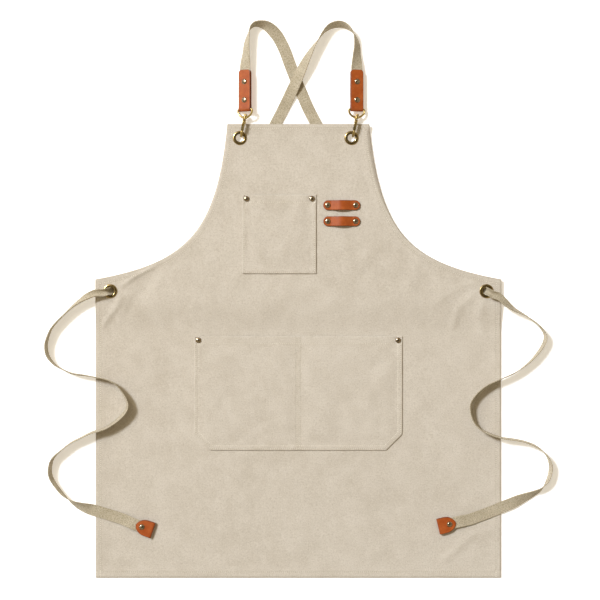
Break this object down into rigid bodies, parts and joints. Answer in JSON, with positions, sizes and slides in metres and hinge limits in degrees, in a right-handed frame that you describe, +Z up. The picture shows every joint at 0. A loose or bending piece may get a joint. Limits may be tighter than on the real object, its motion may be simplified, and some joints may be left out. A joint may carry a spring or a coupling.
{
  "type": "apron",
  "caption": "Cross-back canvas apron laid flat, with chest and waist pockets, leather brush loops, and webbing straps clipped to brass grommets by swivel snap hooks.",
  "frame": {"origin": "on the floor below the middle of the laid-out apron without its ties", "axes": "+X to the right, +Y from the skirt towards the bib, +Z up out of the front"},
  "size_m": [0.8726, 0.9605, 0.0243],
  "materials": {
    "canvas": "matt woven cotton",
    "webbing": "coarse woven cotton",
    "leather": "satin, burnished edges",
    "brass": "polished, slightly aged",
    "spring_steel": "bright"
  },
  "bodies": {
    "apron": {"apron_panel": "canvas", "bib_grommet_left_eyelet": "brass", "bib_grommet_left_washer": "brass", "bib_grommet_right_eyelet": "brass", "bib_grommet_right_washer": "brass", "brush_loop_lower": "leather", "brush_loop_lower_rivet_left": "brass", "brush_loop_lower_rivet_right": "brass", "brush_loop_upper": "leather", "brush_loop_upper_rivet_left": "brass", "brush_loop_upper_rivet_right": "brass", "chest_pocket": "canvas", "chest_pocket_rivet_left": "brass", "chest_pocket_rivet_right": "brass", "shoulder_strap_left": "webbing", "shoulder_strap_right": "webbing", "tie_tip_left": "leather", "tie_tip_right": "leather", "tie_tip_rivet_left": "brass", "tie_tip_rivet_right": "brass", "waist_grommet_left_eyelet": "brass", "waist_grommet_left_washer": "brass", "waist_grommet_right_eyelet": "brass", "waist_grommet_right_washer": "brass", "waist_pocket": "canvas", "waist_pocket_rivet_left": "brass", "waist_pocket_rivet_right": "brass", "waist_tie_left": "webbing", "waist_tie_right": "webbing"},
    "hook_left": {"hook_body_left": "brass", "hook_gate_pin_left": "brass"},
    "hook_right": {"hook_body_right": "brass", "hook_gate_pin_right": "brass"},
    "eye_left": {"hook_eye_left": "brass"},
    "eye_right": {"hook_eye_right": "brass"},
    "connector_left": {"leather_connector_left": "leather", "strap_end_left": "webbing", "connector_rivet_lower_left": "brass", "connector_rivet_upper_left": "brass"},
    "connector_right": {"leather_connector_right": "leather", "strap_end_right": "webbing", "connector_rivet_lower_right": "brass", "connector_rivet_upper_right": "brass"},
    "gate_left": {"hook_gate_left": "brass", "hook_gate_spring_left": "spring_steel"},
    "gate_right": {"hook_gate_right": "brass", "hook_gate_spring_right": "spring_steel"}
  },
  "joints": [
    {"name": "hook_tilt_left", "type": "hinge", "parent": "apron", "child": "hook_left", "pos_m": [-0.0985, 0.2832, 0.0019], "axis": [1, 0, 0], "range_deg": [0, 6]},
    {"name": "swivel_left", "type": "hinge", "parent": "hook_left", "child": "eye_left", "pos_m": [-0.0918, 0.3139, 0.0102], "axis": [0, 1, 0], "continuous": true},
    {"name": "connector_fold_left", "type": "hinge", "parent": "eye_left", "child": "connector_left", "pos_m": [-0.0918, 0.3279, 0.0102], "axis": [0.8988, 0, 0.4384], "range_deg": [0, 40]},
    {"name": "gate_left", "type": "hinge", "parent": "hook_left", "child": "gate_left", "pos_m": [-0.09332, 0.30647, 0.0185], "axis": [0.9796, -0.2007, 0], "range_deg": [0, 14], "stiffness_Nm_per_rad": 0.02, "springref_deg": -28.65},
    {"name": "hook_tilt_right", "type": "hinge", "parent": "apron", "child": "hook_right", "pos_m": [0.094, 0.2832, 0.0019], "axis": [1, 0, 0], "range_deg": [0, 6]},
    {"name": "swivel_right", "type": "hinge", "parent": "hook_right", "child": "eye_right", "pos_m": [0.1006, 0.3139, 0.0102], "axis": [0, 1, 0], "continuous": true},
    {"name": "connector_fold_right", "type": "hinge", "parent": "eye_right", "child": "connector_right", "pos_m": [0.1006, 0.3279, 0.0102], "axis": [0.9781, 0, -0.2079], "range_deg": [0, 40]},
    {"name": "gate_right", "type": "hinge", "parent": "hook_right", "child": "gate_right", "pos_m": [0.0991, 0.30647, 0.0185], "axis": [0.9802, -0.1978, 0], "range_deg": [0, 14], "stiffness_Nm_per_rad": 0.02, "springref_deg": -28.65}
  ]
}
